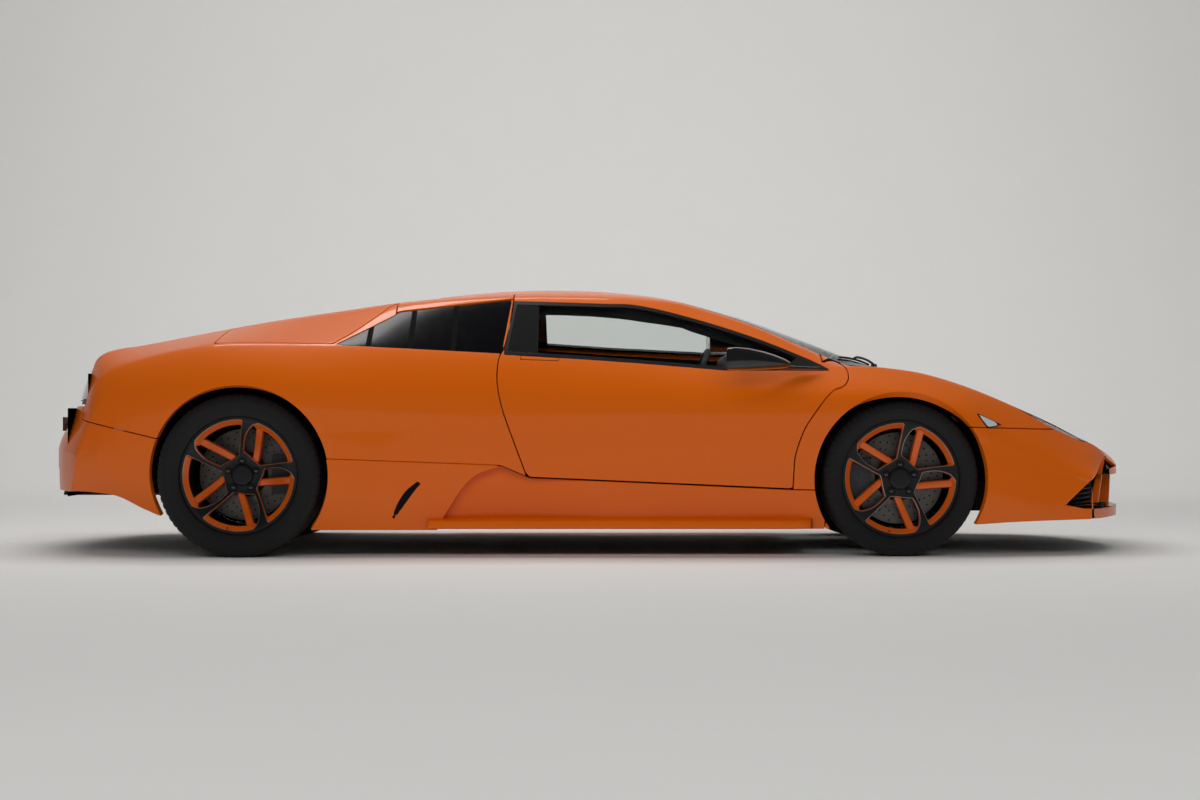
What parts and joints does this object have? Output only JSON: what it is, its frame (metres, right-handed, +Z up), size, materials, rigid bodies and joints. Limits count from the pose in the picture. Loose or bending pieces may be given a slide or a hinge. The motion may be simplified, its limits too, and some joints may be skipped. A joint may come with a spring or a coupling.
{
  "type": "mid-engined two-seat supercar",
  "caption": "Low wedge-shaped two-seat sports car with upswinging doors, lids over boot and engine, steering front wheels and side air scoops.",
  "frame": {"origin": "on the road under the middle of the whole car's box", "axes": "+X towards the nose, +Y to the left-hand side, +Z up"},
  "size_m": [4.61, 2.2, 1.1197],
  "materials": {
    "orange_paint": "metallic gloss",
    "lamp_lens": "clear polycarbonate",
    "red_lamp": "gloss",
    "clear_glass": "clear",
    "dark_glass": "tinted",
    "black_gloss": "gloss",
    "black_plastic": "matte",
    "black_steel": "satin black",
    "polished_steel": "polished",
    "black_leather": "stitched",
    "cast_metal": "cast",
    "wheel_black": "satin black with orange edges",
    "tyre_rubber": "matte",
    "disc_iron": "turned"
  },
  "bodies": {
    "shell": {"front_bumper": "orange_paint", "front_fender_right": "orange_paint", "front_fender_left": "orange_paint", "headlamps": "lamp_lens", "cowl": "black_gloss", "windscreen": "clear_glass", "wiper": "black_plastic", "roof": "orange_paint", "rear_window": "dark_glass", "rear_quarter_right": "orange_paint", "rear_quarter_left": "orange_paint", "quarter_glass": "dark_glass", "side_skirts": "orange_paint", "tail_lamps": "red_lamp", "rear_bumper": "orange_paint", "plate_holder": "black_plastic", "exhaust": "polished_steel", "cabin_frame": "black_plastic", "chassis_tub": "black_steel", "wheel_liners": "black_plastic", "suspension_arms": "black_steel", "engine_block": "black_steel", "seats": "black_leather", "dashboard": "black_leather", "rear_hub_carriers": "cast_metal"},
    "steer_right": {"knuckle_front_right": "cast_metal"},
    "steer_left": {"knuckle_front_left": "cast_metal"},
    "front_wheel_right": {"wheel_front_right": "wheel_black", "tyre_front_right": "tyre_rubber", "brake_discs_front_right": "disc_iron"},
    "front_wheel_left": {"wheel_front_left": "wheel_black", "tyre_front_left": "tyre_rubber", "brake_discs_front_left": "disc_iron"},
    "rear_wheel_right": {"wheel_rear_right": "wheel_black", "tyre_rear_right": "tyre_rubber", "brake_discs_rear_right": "disc_iron"},
    "rear_wheel_left": {"wheel_rear_left": "wheel_black", "tyre_rear_left": "tyre_rubber", "brake_discs_rear_left": "disc_iron"},
    "right_door": {"door_right": "orange_paint", "door_glass_right": "clear_glass", "mirror_right": "black_gloss"},
    "left_door": {"door_left": "orange_paint", "door_glass_left": "clear_glass", "mirror_left": "black_gloss"},
    "front_lid": {"bonnet": "orange_paint"},
    "rear_lid": {"engine_lid": "orange_paint"},
    "spoiler": {"rear_spoiler": "orange_paint"},
    "right_flap": {"intake_flap_right": "orange_paint"},
    "left_flap": {"intake_flap_left": "orange_paint"},
    "steering": {"steering_wheel": "black_leather"}
  },
  "joints": [
    {"name": "left_steer", "type": "hinge", "parent": "shell", "child": "steer_left", "pos_m": [1.265, 0.8175, 0.3145], "axis": [0, 0, 1], "range_deg": [-28, 28]},
    {"name": "right_steer", "type": "hinge", "parent": "shell", "child": "steer_right", "pos_m": [1.265, -0.8175, 0.3145], "axis": [0, 0, 1], "range_deg": [-28, 28]},
    {"name": "wheel_turn", "type": "hinge", "parent": "shell", "child": "steering", "pos_m": [0.47, 0.4, 0.64], "axis": [-0.9135, 0, 0.4067], "range_deg": [-364, 364]},
    {"name": "front_right_spin", "type": "hinge", "parent": "steer_right", "child": "front_wheel_right", "pos_m": [1.265, -0.8175, 0.3145], "axis": [0, 1, 0], "continuous": true},
    {"name": "front_left_spin", "type": "hinge", "parent": "steer_left", "child": "front_wheel_left", "pos_m": [1.265, 0.8175, 0.3145], "axis": [0, 1, 0], "continuous": true},
    {"name": "rear_right_spin", "type": "hinge", "parent": "shell", "child": "rear_wheel_right", "pos_m": [-1.4, -0.8475, 0.329], "axis": [0, 1, 0], "continuous": true},
    {"name": "rear_left_spin", "type": "hinge", "parent": "shell", "child": "rear_wheel_left", "pos_m": [-1.4, 0.8475, 0.329], "axis": [0, 1, 0], "continuous": true},
    {"name": "right_door_lift", "type": "hinge", "parent": "shell", "child": "right_door", "pos_m": [1, -0.85, 0.738], "axis": [0, 0.9988, 0.0499], "range_deg": [0, 72]},
    {"name": "left_door_lift", "type": "hinge", "parent": "shell", "child": "left_door", "pos_m": [1, 0.85, 0.738], "axis": [0, 0.9988, -0.0499], "range_deg": [0, 72]},
    {"name": "bonnet_lift", "type": "hinge", "parent": "shell", "child": "front_lid", "pos_m": [1.297, 0, 0.764], "axis": [0, -1, 0], "range_deg": [0, 55]},
    {"name": "engine_lid_lift", "type": "hinge", "parent": "shell", "child": "rear_lid", "pos_m": [-0.8, 0, 1.069], "axis": [0, 1, 0], "range_deg": [0, 45]},
    {"name": "spoiler_lift", "type": "hinge", "parent": "shell", "child": "spoiler", "pos_m": [-1.93, 0, 0.874], "axis": [0, 1, 0], "range_deg": [0, 30]},
    {"name": "right_flap_lift", "type": "hinge", "parent": "shell", "child": "right_flap", "pos_m": [-1.52, -0.7, 0.94], "axis": [0, -1, 0], "range_deg": [0, 14]},
    {"name": "left_flap_lift", "type": "hinge", "parent": "shell", "child": "left_flap", "pos_m": [-1.52, 0.7, 0.94], "axis": [0, -1, 0], "range_deg": [0, 14]}
  ],
  "couplings": [
    {"joint": "right_steer", "follows": "left_steer", "ratio": 1},
    {"joint": "wheel_turn", "follows": "left_steer", "ratio": 13}
  ]
}
